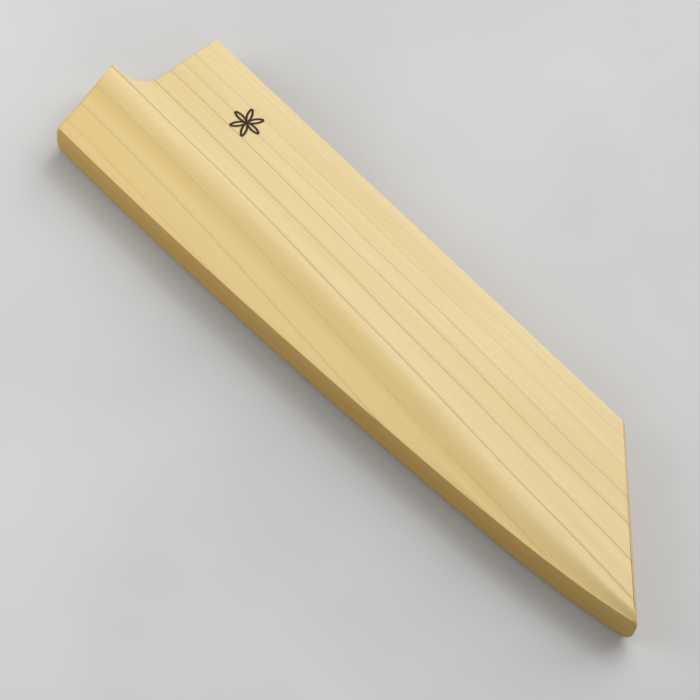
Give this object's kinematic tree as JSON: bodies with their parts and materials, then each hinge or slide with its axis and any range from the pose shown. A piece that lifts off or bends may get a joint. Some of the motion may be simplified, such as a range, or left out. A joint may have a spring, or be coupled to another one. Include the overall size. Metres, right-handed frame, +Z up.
{
  "type": "knife blade guard",
  "caption": "Flat wooden guard for a chef's knife with an angled tip: a glued sheath with a blade slot open at a stepped mouth, and soft carved faces.",
  "frame": {"origin": "centre of the bounding box in X and Y, on the surface that the guard lies on, which is its back", "axes": "+X from the mouth to the tip, +Y from the cutting edge side to the straight spine side, +Z up out of the front face"},
  "size_m": [0.2416, 0.0612, 0.0145],
  "materials": {
    "board_wood": "pale straight-grained softwood, sanded smooth and lightly oiled",
    "core_wood": "the same pale wood, planed and glued between the boards"
  },
  "bodies": {
    "root": {"front_board": "board_wood", "back_board": "board_wood", "spine_strip": "core_wood", "edge_strip": "core_wood", "tip_strip": "core_wood"}
  },
  "joints": []
}
